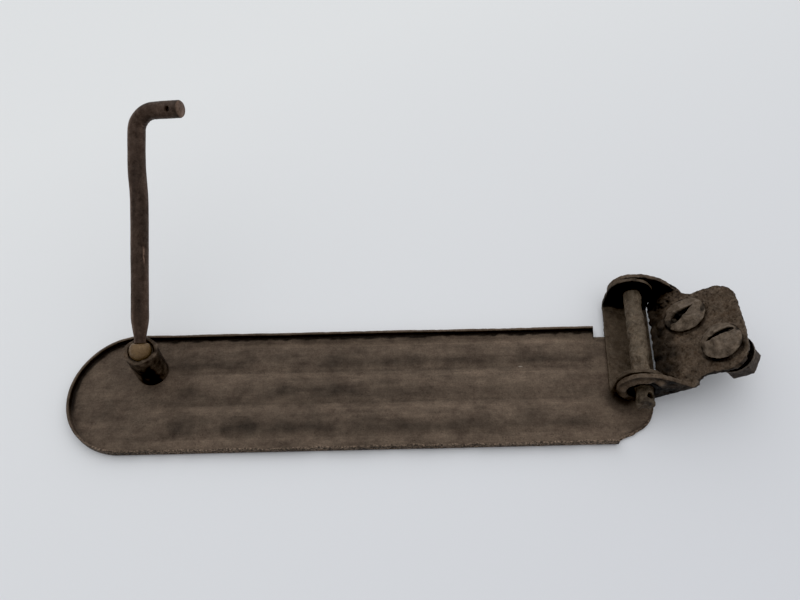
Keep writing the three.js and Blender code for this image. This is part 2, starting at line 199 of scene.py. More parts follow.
def fix_normals(obj):
    """Turns every face to point out of the closed mesh."""
    work = bmesh.new()
    work.from_mesh(obj.data)
    bmesh.ops.recalc_face_normals(work, faces=work.faces)
    work.to_mesh(obj.data)
    work.free()
    shade_smooth(obj)


def drill(obj, point, axis, radius, length):
    """Cuts a round hole through the object."""
    tool_mesh = bpy.data.meshes.new("drill")
    work = bmesh.new()
    turn = Vector((0, 0, 1)).rotation_difference(Vector(axis)).to_matrix().to_4x4()
    place = Matrix.Translation(Vector(point) * MM) @ turn
    bmesh.ops.create_cone(work, cap_ends=True, segments=32, radius1=radius * MM, radius2=radius * MM,
                          depth=length * MM, matrix=place)
    work.to_mesh(tool_mesh)
    work.free()
    tool = bpy.data.objects.new("drill", tool_mesh)
    bpy.context.scene.collection.objects.link(tool)
    cut = obj.modifiers.new("cut", "BOOLEAN")
    cut.operation = "DIFFERENCE"
    cut.solver = "EXACT"
    cut.object = tool
    apply_modifiers(obj)
    bpy.data.objects.remove(tool)


# ---------------------------------------------------------------- helpers: materials
def srgb(red, green, blue):
    """Linear colour from 0-255 values."""
    def linear(value):
        value /= 255
        return value / 12.92 if value <= 0.04045 else ((value + 0.055) / 1.055) ** 2.4
    return (linear(red), linear(green), linear(blue), 1)


class Nodes:
    """Short ways to add shader nodes to one material."""

    def __init__(self, name):
        self.material = bpy.data.materials.new(name)
        self.material.use_nodes = True
        self.tree = self.material.node_tree
        self.shader = self.tree.nodes["Principled BSDF"]
        self.coords = self.tree.nodes.new("ShaderNodeTexCoord").outputs["Object"]

    def link(self, source, target):
        """Joins an output to an input."""
        self.tree.links.new(source, target)

    def stretched(self, scale):
        """The coordinates scaled by axis, which draws a pattern out where the scale is small."""
        node = self.tree.nodes.new("ShaderNodeMapping")
        node.inputs["Scale"].default_value = scale
        self.link(self.coords, node.inputs["Vector"])
        return node.outputs["Vector"]

    def noise(self, size_mm, detail=4, roughness=0.6, coords=None, distortion=0):
        """Cloudy noise from 0 to 1 with features of about the given size."""
        node = self.tree.nodes.new("ShaderNodeTexNoise")
        node.inputs["Scale"].default_value = 1 / (size_mm * MM)
        node.inputs["Detail"].default_value = detail
        node.inputs["Roughness"].default_value = roughness
        node.inputs["Distortion"].default_value = distortion
        self.link(coords or self.coords, node.inputs["Vector"])
        return node.outputs["Fac"]

    def spots(self, size_mm, coords=None):
        """Distance from scattered points, 0 at each of them."""
        node = self.tree.nodes.new("ShaderNodeTexVoronoi")
        node.inputs["Scale"].default_value = 1 / (size_mm * MM)
        node.inputs["Randomness"].default_value = 1
        self.link(coords or self.coords, node.inputs["Vector"])
        return node.outputs["Distance"]

    def remap(self, value, low, high, to_low=0.0, to_high=1.0):
        """Stretches low..high to to_low..to_high and holds it there."""
        node = self.tree.nodes.new("ShaderNodeMapRange")
        node.clamp = True
        node.inputs["From Min"].default_value = low
        node.inputs["From Max"].default_value = high
        node.inputs["To Min"].default_value = to_low
        node.inputs["To Max"].default_value = to_high
        self.link(value, node.inputs["Value"])
        return node.outputs["Result"]

    def math(self, operation, a, b):
        """One arithmetic step on two numbers or sockets."""
        node = self.tree.nodes.new("ShaderNodeMath")
        node.operation = operation
        for socket, value in zip(node.inputs, (a, b)):
            if isinstance(value, (int, float)):
                socket.default_value = value
            else:
                self.link(value, socket)
        return node.outputs[0]

    def mix(self, factor, a, b, blend="MIX"):
        """Blends two colours, each a socket or a plain value."""
        node = self.tree.nodes.new("ShaderNodeMix")
        node.data_type = "RGBA"
        node.blend_type = blend
        sockets = (node.inputs[0], node.inputs[6], node.inputs[7])  # the factor and the two colours
        for socket, value in zip(sockets, (factor, a, b)):
            if isinstance(value, (int, float, tuple)):
                socket.default_value = value
            else:
                self.link(value, socket)
        return node.outputs[2]

    def pointiness(self):
        """Above 0.5 on sharp edges and below it in hollows."""
        return self.tree.nodes.new("ShaderNodeNewGeometry").outputs["Pointiness"]

    def attribute(self, name):
        """A number stored by paint()."""
        node = self.tree.nodes.new("ShaderNodeAttribute")
        node.attribute_name = name
        return node.outputs["Fac"]

    def bump(self, height, distance_mm, strength=1.0, below=None):
        """Surface relief from a height, laid over an earlier one."""
        node = self.tree.nodes.new("ShaderNodeBump")
        node.inputs["Strength"].default_value = strength
        node.inputs["Distance"].default_value = distance_mm * MM
        self.link(height, node.inputs["Height"])
        if below is not None:
            self.link(below, node.inputs["Normal"])
        return node.outputs["Normal"]


def streaked(n, colour, streaks):
    """Adds fine lines along X, pale flecks and, where the "chipped" attribute is high, chipped scale."""
    lines = n.noise(1.7, 5, 0.7, n.stretched((0.16, 1, 1)), distortion=0.4)
    colour = n.mix(1.0, colour, n.remap(lines, 0.32, 0.68, 1 - streaks, 1 + streaks), "MULTIPLY")
    flecks = n.remap(n.spots(34, n.stretched((0.35, 1.5, 1))), 0.022, 0.034, 1, 0)
    colour = n.mix(flecks, colour, srgb(140, 132, 122))
    chips = n.remap(n.noise(1.6, 3, 0.7), 0.44, 0.6, 0.3, 1.9)
    return n.mix(n.attribute("chipped"), colour, n.mix(1.0, colour, chips, "MULTIPLY"))


def rusty_steel(name, dark, mid, light, gloss=(0.5, 0.8), metal=0.1, patch=28, mottle=6, grain=0.9,
                wear=0.5, pits=0.5, rough=0.5, contrast=0.32, streaks=0.0, painted=False):
    """Bare steel gone brown: broad patches, mottling, fine grain, pits, and edges rubbed lighter.

    dark, mid and light are its colours. gloss is the roughness where it is mottled most and least.
    patch, mottle and grain are sizes in millimetres. wear, pits, rough and contrast are strengths.
    streaks adds what streaked() draws. painted multiplies the colour by the "tone" attribute."""
    n = Nodes(name)
    patches = n.remap(n.noise(patch, 5, 0.62, distortion=0.5), 0.36, 0.64)
    mottling = n.remap(n.noise(mottle, 8, 0.75), 0.34, 0.66)
    grains = n.noise(grain, 4, 0.75)
    colour = n.mix(patches, dark, mid)
    colour = n.mix(n.math("MULTIPLY", mottling, 0.6), colour, light)
    colour = n.mix(1.0, colour, n.remap(grains, 0.3, 0.7, 1 - contrast, 1 + contrast), "MULTIPLY")
    if streaks:
        colour = streaked(n, colour, streaks)
    pit = n.remap(n.spots(2.4), 0.1, 0.36, 1, 0)
    pit_mask = n.math("MULTIPLY", pit, n.remap(n.noise(11, 4, 0.65), 0.46, 0.6))
    pit_colour = tuple(c * 0.3 for c in dark[:3]) + (1,)
    colour = n.mix(n.math("MULTIPLY", pit_mask, pits), colour, pit_colour)
    edge = n.remap(n.pointiness(), 0.505, 0.6)
    edge = n.math("MULTIPLY", edge, n.remap(n.noise(4, 4, 0.7), 0.35, 0.6, 0.3, 1))
    colour = n.mix(n.math("MULTIPLY", edge, wear), colour, light)
    hollow = n.remap(n.pointiness(), 0.42, 0.495, 0.35, 1)
    colour = n.mix(1.0, colour, hollow, "MULTIPLY")
    if painted:
        colour = n.mix(1.0, colour, n.attribute("tone"), "MULTIPLY")
    n.link(colour, n.shader.inputs["Base Color"])
    n.link(n.remap(mottling, 0, 1, gloss[1], gloss[0]), n.shader.inputs["Roughness"])
    n.shader.inputs["Metallic"].default_value = metal
    n.shader.inputs["Specular IOR Level"].default_value = 0.14 if painted else 0.3
    normal = n.bump(n.noise(mottle * 0.7, 7, 0.7), 0.9, rough)
    normal = n.bump(n.math("SUBTRACT", 1.0, pit_mask), 0.4, 0.6, normal)
    normal = n.bump(grains, 0.2, 0.7, normal)
    n.link(normal, n.shader.inputs["Normal"])
    return n.material


def finish_piece(obj, material, body, node):
    """Gives a piece its material and body, and puts it in the CAD node's place."""
    obj.data.materials.clear()
    obj.data.materials.append(material)
    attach(obj, body)
    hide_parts(node)


# ---------------------------------------------------------------- arm
ARM_HALF = 55.0  # half the arm's width
ROUND_REACH = 53.0  # how far the round end reaches past its centre
SHEET = 2.0
RIM_HEIGHT = 8.0
RIM_BEND = 3.4  # outside radius where the sheet turns up into the rim
RIM_LIP = 0.7  # rounding of the rim's top edges
RIM_STUB = 0.02  # share of the rim's height that is left past its end
CUT_BEND = 0.15  # share of the bend's width that is left there
FAR_RIM_END = 400.0
NEAR_RIM_END = 403.0
ARM_END = 447.0
LAST_STRETCH = 6.0  # meshed finer, up to the arm's end
NOTCH_EDGE = 46.5  # Y of the far edge past the rim
ARCH_WIDTH = 29.6
ARCH_HEIGHT = 2.8
ARCH_CRESTS = (33.0, 3.0, -27.0)
ARCH_STARTS = (27.0, 27.0, 4.0)
ARCH_END = 398.0
ARCH_FADE = 30.0
# the sheet's bare near edge past the rim
EDGE_X = (403.2, 404, 409, 415, 422.5, 428.5, 433, 436, 438, 441, ARM_END)
EDGE_Y = (-53.5, -51.8, -50, -47.6, -44, -39.6, -34.5, -29.5, -24.5, -14, NOTCH_EDGE)
# each dent and stain: centre, reach along and across, and how deep or dark it is
DENTS = ((50, -30, 15, 11, 0.9), (93, -34, 12, 8, 0.8), (215, -2, 22, 10, 0.5), (330, 18, 26, 12, 0.4))
STAINS = ((51, -30, 17, 9, 0.2), (94, -34, 15, 11, 0.26), (80, 30, 26, 8, 0.1), (155, -4, 40, 8, 0.1),
          (10, -16, 30, 12, 0.08))
# painted shade and highlight across an arch: how much darker its near flank and lighter its far flank are
# painted at each place, measured from its crest
NARROW_SHADING = ((-15, -12.4, -11.0, -9.2, -6, -1, 5, 8.2, 9.1, 10, 13, 15),
               (-0.02, -0.04, -0.24, -0.34, -0.24, 0.0, 0.05, 0.14, 0.34, 0.08, 0.0, -0.02))
BROAD_SHADING = ((-15, -12, -9, -5, 0, 6, 10, 15),
              (0, -0.13, -0.24, -0.25, -0.13, 0.05, 0.16, 0))


def rim_profile(inside_points):
    """Half of the arm's cross-section from the middle of its underside, out and up round the rim, and
    back along the top: (share of the flat, distance in from the outer face, height)."""
    inner_bend = RIM_BEND - SHEET
    lip_start = RIM_HEIGHT - RIM_LIP
    quarter = math.pi / 2
    profile = [(i / inside_points, None, 0.0) for i in range(inside_points + 1)]
    profile += [(None, RIM_BEND * (1 - math.sin(a)), RIM_BEND * (1 - math.cos(a)))
                for a in np.linspace(0, quarter, 7)[1:]]
    profile += [(None, 0.0, h) for h in np.linspace(RIM_BEND, lip_start, 5)[1:]]
    profile += [(None, RIM_LIP * (1 - math.cos(a)), RIM_HEIGHT - RIM_LIP * (1 - math.sin(a)))
                for a in np.linspace(0, quarter, 4)[1:]]
    profile += [(None, SHEET - RIM_LIP * (1 - math.sin(a)), RIM_HEIGHT - RIM_LIP * (1 - math.cos(a)))
                for a in np.linspace(0, quarter, 4)]
    profile += [(None, SHEET, h) for h in np.linspace(lip_start, SHEET + inner_bend, 5)[1:]]
    profile += [(None, SHEET + inner_bend * (1 - math.cos(a)), SHEET + inner_bend * (1 - math.sin(a)))
                for a in np.linspace(0, quarter, 5)[1:]]
    profile += [(1 - i / inside_points, None, SHEET) for i in range(1, inside_points + 1)]
    return profile


def arch_height(x, y):
    """How far the pressed arches lift the sheet."""
    total = np.zeros_like(x)
    for crest, start in zip(ARCH_CRESTS, ARCH_STARTS):
        side = (y - crest) / (ARCH_WIDTH / 2)
        rise = ramp(x, start, start + ARCH_FADE)
        fall = ramp(x, ARCH_END, ARCH_END - ARCH_FADE)
        fade = (0.5 - 0.5 * np.cos(math.pi * rise)) * (0.5 - 0.5 * np.cos(math.pi * fall))
        total += ARCH_HEIGHT * np.clip(1 - side ** 2, 0, None) * fade
    return total


def near_edge(x):
    """Y of the sheet's near edge at a place along the arm."""
    if x <= NEAR_RIM_END:
        return -ARM_HALF
    return float(np.interp(x, EDGE_X, EDGE_Y))


def from_outline(x, y):
    """Distance in from the outline of the rim."""
    round_end = ROUND_REACH * (1 - np.hypot(x / ROUND_REACH, y / ARM_HALF))
    return np.where(x < 0, round_end, ARM_HALF - np.abs(y))


def arm_stations():
    """Places along the arm's straight part where its section is drawn, closer where it changes."""
    step = 1.8
    last = ARM_END - LAST_STRETCH
    stations = list(np.arange(step, FAR_RIM_END - 1, step))
    stations += [end + side for end in (FAR_RIM_END, NEAR_RIM_END) for side in (-0.1, 0.1)]
    stations += list(np.arange(NEAR_RIM_END + 2, last, 2))
    stations += list(np.linspace(last, ARM_END, 6))
    return stations


def arm_pan():
    """The pressed arm: one skin of half-sections round the end and down both sides."""
    profile = rim_profile(44)
    count = len(profile)
    verts = []
    faces = []

    def half_section(outer, inward, rim):
        """Adds one half-section. outer is a point of the outline, inward leads from there to the arm's
        middle, and rim is the share of the rim's height that stands there."""
        reach = math.hypot(*inward)
        unit = (inward[0] / reach, inward[1] / reach)
        start = len(verts)
        for share, inset, height in profile:
            if share is not None:
                inset = RIM_BEND + (reach - RIM_BEND) * (1 - share)
            elif rim < 1 and height <= SHEET and inset < RIM_BEND:
                inset *= CUT_BEND
            if height > SHEET:
                height = SHEET + (height - SHEET) * rim
            verts.append((outer[0] + unit[0] * inset, outer[1] + unit[1] * inset, height))
        return start

    def skin(rows, flip=False):
        """Joins each half-section to the next."""
        for a, b in zip(rows, rows[1:]):
            for i in range(count - 1):
                quad = (a + i, b + i, b + i + 1, a + i + 1)
                faces.append(quad[::-1] if flip else quad)

    turns = 90
    arc = []
    for k in range(turns + 1):
        angle = math.pi / 2 + math.pi * k / turns
        point = (ROUND_REACH * math.cos(angle), ARM_HALF * math.sin(angle))
        arc.append(half_section(point, (-point[0], -point[1]), 1))
    far_rows = [arc[0]]
    near_rows = [arc[-1]]
    for x in arm_stations():
        far = ARM_HALF if x < FAR_RIM_END else NOTCH_EDGE
        near = min(near_edge(x), far - 1.0)
        middle = 0.0 if near < -5 else (near + far) / 2
        far_rim = 1 if x < FAR_RIM_END else RIM_STUB
        near_rim = 1 if x < NEAR_RIM_END else RIM_STUB
        far_rows.append(half_section((x, far), (0, middle - far), far_rim))
        near_rows.append(half_section((x, near), (0, middle - near), near_rim))
    skin(arc)
    skin(far_rows, flip=True)
    skin(near_rows)
    faces.append([far_rows[-1] + i for i in range(count)])
    faces.append([near_rows[-1] + i for i in reversed(range(count))])

    obj = new_piece("pressed_arm", pressed_and_worn(np.array(verts)), faces)
    work = bmesh.new()
    work.from_mesh(obj.data)
    bmesh.ops.remove_doubles(work, verts=work.verts, dist=0.0004 * MM)
    work.to_mesh(obj.data)
    work.free()
    fix_normals(obj)
    paint(obj, "tone", arm_tone(points_of(obj)))
    paint(obj, "chipped", chipped_rim(points_of(obj)))
    return obj


def pressed_and_worn(points):
    """Presses the arches and dents into the sheet, bows it, and wears its rim and its bare edge."""
    x, y, z = points.T  # views of the points, so each line sees the moves made before it
    level = points * (1, 1, 0)
    on_flat = z <= SHEET + 0.001
    z += np.where(on_flat, arch_height(x, y), 0)
    for cx, cy, rx, ry, depth in DENTS:
        z -= depth * np.exp(-((x - cx) / rx) ** 2 - ((y - cy) / ry) ** 2) * on_flat
    from_pipe = np.hypot(x - BALL_CENTRE[0], y - BALL_CENTRE[1])
    clear_of_others = ramp(x, 395, 375) * ramp(from_pipe, 14, 26)
    bow = 0.5 * ripple(level, 45, 3) + 0.3 * ripple(level, 14, 4) + 0.12 * ripple(level, 5, 8)
    z += bow * clear_of_others * on_flat
    on_rim = ramp(z, SHEET, SHEET + 4)
    y += on_rim * 0.6 * ripple(points * (1, 0, 0), 60, 5)
    near_side = ramp(y, -40, -48) * on_rim
    ragged = np.minimum(ripple(level, 11, 7) + 1.1 * ripple(level, 4.5, 12), 0)
    z += on_rim * (0.4 * ripple(level, 30, 6) + ragged * (0.5 + 1.6 * near_side))
    y += near_side * np.maximum(ripple(points * (1, 0, 0), 6, 9), 0) * 2.2
    np.maximum(z, 0, out=z)
    bare_edge = (x > NEAR_RIM_END) & (y < -10)
    y += np.where(bare_edge, 0.9 * ripple(level, 4, 10), 0)
    return points


def arm_tone(points):
    """How light the arm is: painted shade on the arches' near flanks and a painted highlight on their far
    flanks, old stains, and painted shade on the far rim's inner face, on the near rim's outer face and in
    the corner beside the hinge."""
    x, y, z = points.T
    level = points * (1, 1, 0)
    lengthwise = points * (1, 0, 0)
    streaky = points * (0.2, 1, 0)
    drift = 1.4 * ripple(lengthwise, 70, 41) + 0.7 * ripple(lengthwise, 18, 47)
    narrow_share = ramp(x, 130, 260)  # the bands are broad and soft toward the round end
    # painted shade on each arch's near flank and a painted highlight on its far flank, summed over the
    # arches
    bands = np.zeros(len(points))
    for crest in ARCH_CRESTS:
        narrow = np.interp(y + drift - crest, *NARROW_SHADING)
        broad = np.interp(y + 2 * drift - crest, *BROAD_SHADING)
        bands += narrow_share * narrow + (1 - narrow_share) * broad
    on_arches = ramp(x, 4, 44) * ramp(x, 405, 375)
    patchy = np.clip(1 + 0.7 * ripple(level * (0.3, 1, 1), 26, 46), 0.5, 1.4)
    tone = 1 + on_arches * bands * patchy
    tone *= np.interp(x, (-50, 190, 260, 330), (1.0, 1.02, 1.11, 1.2))
    tone += 0.24 * ripple(streaky, 6, 42) + 0.28 * ripple(level, 22, 43) + 0.12 * ripple(level, 5, 44)
    tone += 0.15 * ripple(streaky, 2.6, 51)
    stain_edge = 2.0 * ripple(level, 9, 45)
    for cx, cy, rx, ry, depth in STAINS:
        reach = np.hypot((x + stain_edge - cx) / rx, (y + stain_edge - cy) / ry)
        tone -= depth * ramp(reach, 1.1, 0.96)
    tone += 0.14 * ramp(y, -40, -44) * (x > 20)
    inset = from_outline(x, y)
    # painted shade: the far rim's inner face, which faces away from the light, is painted near-black out
    # to a wavering width
    inner_side = ramp(inset, 1.2, 1.6) * (z < RIM_HEIGHT - 0.9)
    waver = np.interp(x, (-20, 10), (0.8, 2.2)) * ripple(level, 6, 48)
    shade_width = SHEET + 3.0 + waver
    black = inner_side * ramp(inset - shade_width, 0, -1.1)
    black *= ramp(y, -24, -10) * (x < FAR_RIM_END)
    tone += (0.14 - tone) * black
    # painted shade in the corner beside the hinge, where the ears shade the sheet, with a ragged edge
    by_hinge = np.exp(-((x - 414) / 13) ** 2 - ((y + 14) / 9) ** 2)
    hinge_shade = 1.3 * by_hinge + 0.3 * ripple(level, 6, 49) * (by_hinge > 0.1)
    tone *= 1 - 0.85 * np.clip(hinge_shade, 0, 1)
    # painted shade on the near rim's outer face, which faces away from the light
    tone *= 1 - 0.22 * (y < -30) * (inset < 0.4)
    return np.clip(tone, 0.05, 2.2)


def chipped_rim(points):
    """1 on the near side of the rim and on the bare edge past it, where the scale has chipped."""
    x, y, _ = points.T
    near_rim = ramp(y, -30, -50) * ramp(from_outline(x, y), 2.6, 2.0)
    from_bare_edge = y - np.interp(x, EDGE_X, EDGE_Y)
    bare_edge = (x > NEAR_RIM_END) * (y < -10) * ramp(from_bare_edge, 2.5, 1.5)
    return np.clip(near_rim + bare_edge, 0, 1)


# ---------------------------------------------------------------- socket, ball and hook rod
ROD_R = 7.15
ROD_LENGTH = 196.5  # from the ball's centre to the middle of the leg
NECK_LENGTH = 30.0
SET_START = 116.0  # the rod is bent a little to one side between these heights
SET_END = 160.0
ROD_SET = 2.4
LEG_LENGTH = 38.5
BEND_R = 16.0
ROD_TURN = -103  # which way the hook points, degrees about the rod
BALL_R = 8.9
BALL_FLAT = 6.2  # height of the ball's flat top above its centre
BALL_BORE_R = 4.35
BALL_BORE_BOTTOM = 3.0
LEG_HOLE_R = 2.5
LEG_HOLE_FROM_END = 9.0
LEG_HOLE_TILT = 9
SCRATCH_HEIGHT = 79.0
SCRATCH_HEADING = -30  # degrees about the rod, from the hook's plane
PIPE_R = 13.35
PIPE_BORE_R = 10.3
PIPE_LIP = 0.8


def rod_matrix(turn=0.0):
    """Places a piece drawn with the ball's centre at its origin and +Z up the rod."""
    side = LEAN_AXIS.cross(ROD_AXIS).normalized()
    basis = Matrix((side, LEAN_AXIS, ROD_AXIS)).transposed().to_4x4()
    return basis @ Matrix.Rotation(turn * RAD, 4, "Z")


def placed(points, matrix):
    """Points drawn about the ball's centre, turned and moved to their place on the object."""
    return points @ np.array(matrix.to_3x3()).T + BALL_CENTRE


def bezier(p0, p1, p2, p3, steps):
    """Points of a curve after its first one."""
    t = np.linspace(0, 1, steps)[1:, None]
    p0, p1, p2, p3 = (np.array(p, float) for p in (p0, p1, p2, p3))
    return (1 - t) ** 3 * p0 + 3 * t * (1 - t) ** 2 * p1 + 3 * t ** 2 * (1 - t) * p2 + t ** 3 * p3


def rod_path():
    """(x, z) points of the rod's centreline in the hook's plane, closer together where it changes."""
    bend_start = ROD_LENGTH - BEND_R
    leg_start = BEND_R - ROD_SET
    handle = 0.55 * BEND_R  # makes the curve nearly a quarter circle
    set_middle = (SET_START + SET_END) / 2
    pieces = [
        np.array([(0, z) for z in (6.6, 7.0, 8.0, 9.5, 11, 13, 15, 17, 19, 21.5, 24, 27, NECK_LENGTH)]),
        np.array([(0, z) for z in np.arange(NECK_LENGTH + 3, SET_START, 3)]),
        bezier((0, SET_START), (0, set_middle), (-ROD_SET, set_middle), (-ROD_SET, SET_END), 20),
        np.array([(-ROD_SET, z) for z in np.arange(SET_END + 3, bend_start, 3)]),
        bezier((-ROD_SET, bend_start), (-ROD_SET, bend_start + handle),
               (leg_start - handle, ROD_LENGTH), (leg_start, ROD_LENGTH), 26),
        np.array([(x, ROD_LENGTH) for x in np.arange(leg_start + 1.5, LEG_LENGTH - 1.6, 1.5)]),
        np.array([(LEG_LENGTH - inset, ROD_LENGTH) for inset in (1.2, 0.5, 0)]),
    ]
    return np.concatenate(pieces)


def rod_radius(x, z):
    """The rod's radius: necked above the ball and rounded off at the end of the leg."""
    radius = ROD_R
    if z < NECK_LENGTH and x == 0:
        radius = float(np.interp(z, (9.5, 13, 17, 21.5, 25, 29), (4.6, 5.0, 5.7, 6.5, 7.0, ROD_R)))
    from_end = LEG_LENGTH - x
    rounding = 1.3
    if from_end < rounding:
        radius -= 0.9 * (1 - from_end / rounding) ** 1.5
    return radius


def hook_rod():
    """The round bar with its hook, flattened and creased a little where it is bent."""
    path = rod_path()
    sides = 56
    tangents = np.gradient(path, axis=0)
    tangents /= np.linalg.norm(tangents, axis=1)[:, None]
    bend_middle = np.array((6.0, ROD_LENGTH - 7.0))
    verts = []
    for index, (place, tangent) in enumerate(zip(path, tangents)):
        radius = rod_radius(*place)
        outward = np.array((-tangent[1], tangent[0]))  # toward the outside of the bend
        bend = math.exp(-(np.linalg.norm(place - bend_middle) / 11) ** 2)
        for k in range(sides):
            angle = 2 * math.pi * k / sides
            across, up = math.cos(angle), math.sin(angle)
            bent_radius = radius * (1 - 0.09 * bend * max(0, across) - 0.02 * bend)
            crease = 0.35 * bend * max(0, -across) ** 3 * math.sin(index * 1.5)
            local = outward * (across * bent_radius - crease * across)
            verts.append((place[0] + local[0], up * radius * (1 + 0.05 * bend), place[1] + local[1]))
    faces = []
    for ring in range(len(path) - 1):
        low, high = ring * sides, (ring + 1) * sides
        for k in range(sides):
            following = (k + 1) % sides
            faces.append((low + k, low + following, high + following, high + k))
    faces.append(list(range(sides))[::-1])
    faces.append([(len(path) - 1) * sides + k for k in range(sides)])
    turned = rod_matrix(ROD_TURN)
    obj = new_piece("hook_bar", placed(np.array(verts), turned), faces)
    fix_normals(obj)
    weather(obj, 11, (26, 0.16), (7, 0.1), (2.4, 0.05))
    hole = placed(np.array([(LEG_LENGTH - LEG_HOLE_FROM_END, 0, ROD_LENGTH)]), turned)[0]
    tilt = Matrix.Rotation(LEG_HOLE_TILT * RAD, 4, "X")
    drill(obj, hole, (turned @ tilt) @ Vector((0, 1, 0)), LEG_HOLE_R, 4 * ROD_R)
    paint(obj, "tone", rod_tone(points_of(obj), normals_of(obj)))
    return obj


def rod_tone(points, normals):
    """Long streaks up the rod, painted highlights on its flanks, one bright scratch, and an end face
    painted lighter as painted light, its rim partly a worn edge and partly a painted highlight, and darker
    just short of the end."""
    local = (points - BALL_CENTRE) @ np.array(rod_matrix(ROD_TURN).to_3x3())
    x, y, z = local.T
    on_leg = ramp(x, 10, 18)
    tone = 1 + 0.5 * ripple(local * (1, 1, 0.1), 3.5, 15) + 0.3 * ripple(local, 22, 16)
    tone += 0.3 * on_leg * ripple(local, 5, 17) + 0.25 * ramp(z, 150, 190) + 0.2 * ramp(z, 34, 22)
    # painted highlights on the rod's flanks, set by which way the surface faces
    flank_highlight = np.interp(normals[:, 0], (-1, -0.8, -0.6, -0.4, 0.3, 0.7, 0.85, 1),
                      (2.2, 2.1, 1.7, 1.05, 0.9, 1.0, 1.4, 1.7))
    tone *= flank_highlight * (1 - on_leg) + on_leg
    heading = np.arctan2(y, x) / RAD - SCRATCH_HEADING
    off_scratch = np.abs((heading + 180) % 360 - 180)
    scratch = np.exp(-((z - SCRATCH_HEIGHT) / 6) ** 4) * (off_scratch < 5) * (1 - on_leg)
    tone += 6 * scratch * np.clip(0.5 + 1.5 * ripple(local, 3, 19), 0, 1)
    # the end face is painted lighter as painted light, its rim partly a worn edge and partly a painted
    # highlight, and the side just short of the end is darker
    from_axis = np.hypot(y, z - ROD_LENGTH)
    from_end = LEG_LENGTH - x
    rubbed = np.exp(-((from_axis - 6.3) / 0.7) ** 2) * np.clip(0.5 + 1.6 * ripple(local, 6, 18), 0, 1)
    tone += np.where(from_end < 1.1, 0.7 + 1.6 * rubbed, -0.3 * ramp(from_end, 4, 2))
    return np.clip(tone, 0.3, 8)


def rod_ball():
    """The ball with a flat top and the bore that the rod's neck goes into."""
    flat_angle = math.asin(BALL_FLAT / BALL_R)
    flat_r = BALL_R * math.cos(flat_angle)
    profile = [(0, -BALL_R)]
    profile += [(BALL_R * math.cos(a), BALL_R * math.sin(a))
                for a in np.linspace(-1.5, flat_angle - 0.06, 34)]
    profile += [(flat_r - 0.15, BALL_FLAT - 0.12), (flat_r - 0.8, BALL_FLAT)]
    profile += [(BALL_BORE_R + 0.25, BALL_FLAT), (BALL_BORE_R, BALL_FLAT - 0.2)]
    profile += [(BALL_BORE_R, BALL_BORE_BOTTOM), (0, BALL_BORE_BOTTOM)]
    obj = lathe("ball", profile, 72, (0, 0, 0))
    set_points(obj, placed(points_of(obj), rod_matrix()))
    fix_normals(obj)
    weather(obj, 21, (5, 0.07), (1.6, 0.03))
    return obj


def socket_tube():
    """The pipe, its mouth beaten outward on the side toward the hinge and lumpy all round."""
    low, high = (np.array(corner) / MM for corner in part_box("socket_tube"))
    centre = ((low[0] + high[0]) / 2, (low[1] + high[1]) / 2, low[2])
    top = high[2] - low[2]
    lip_start = top - PIPE_LIP
    profile = [(PIPE_R, h) for h in np.linspace(0, lip_start, 15)]
    profile += [(PIPE_R - PIPE_LIP * (1 - math.cos(a)), top - PIPE_LIP * (1 - math.sin(a)))
                for a in (0.5, 1.0, 1.5)]
    profile += [(PIPE_BORE_R + PIPE_LIP * (1 - math.sin(a)), top - PIPE_LIP * (1 - math.cos(a)))
                for a in (0.1, 0.6, 1.1, 1.5)]
    profile += [(PIPE_BORE_R, h) for h in np.linspace(lip_start, 0, 15)[1:]]
    obj = lathe("socket_pipe", profile, 96, centre)
    fix_normals(obj)
    points = points_of(obj)
    near_mouth = ramp(points[:, 2], high[2] - 3, high[2])
    flare_start = centre[0] + 0.75 * PIPE_BORE_R
    flare = ramp(points[:, 2], high[2] - 14, high[2]) * ramp(points[:, 0], flare_start, flare_start + 5)
    points[:, 0] += 1.5 * flare
    points[:, 2] += near_mouth * (1.6 * ripple(points, 8, 31) + 1.2 * ripple(points, 3.5, 32) - 0.4)
    set_points(obj, points)
    weather(obj, 33, (9, 0.5), (3.5, 0.35), share=0.3 + 0.7 * near_mouth)
    paint(obj, "tone", pipe_tone(points_of(obj), centre, high[2]))
    return obj


def pipe_tone(points, centre, top):
    """Painted shade low on the near side, which faces away from the light, a lip painted lighter, partly
    rubbed and partly a painted highlight, a painted highlight on the side away from the hinge, and darker
    on the side toward the hinge.
    """
    across, toward = points[:, 0] - centre[0], centre[1] - points[:, 1]
    heading = np.arctan2(across, toward) / RAD + 14 * ripple(points, 6, 34)  # 0 on the near side
    depth = top - points[:, 2] + 4 * ripple(points, 6, 36)
    # painted shade: black low on the near side, which faces away from the light
    black = ramp(np.abs(heading - 12), 40, 28) * ramp(depth, 9, 12)
    # the lip is painted lighter, partly rubbed and partly a painted highlight
    rubbed = ramp(depth, 1.4, -0.1)
    # painted highlight down the side away from the hinge
    streak = ramp(np.abs(heading + 74), 16, 8)
    tone = 1.0 - 1.1 * black + 0.3 * rubbed + 0.5 * streak + 0.9 * ripple(points, 4, 35)
    tone -= 0.3 * ramp(heading, 50, 65)
    return np.clip(tone, 0.06, 2.0)


# ---------------------------------------------------------------- hinge, bracket and bolts
# places here are in millimetres from the pin, along the rows of hinge_axes() or bracket_axes()
TILT = 42  # rise of the bracket's plate away from the hinge, degrees
PLATE_TOP = -17.6
PLATE_THICK = 5.0
PLATE_BOTTOM = PLATE_TOP - PLATE_THICK
EAR_OUTER_FAR = 85.0
EAR_OUTER_NEAR = -17.7
FOLD_R = 6.5  # outside radius of the folds between the plate and its ears
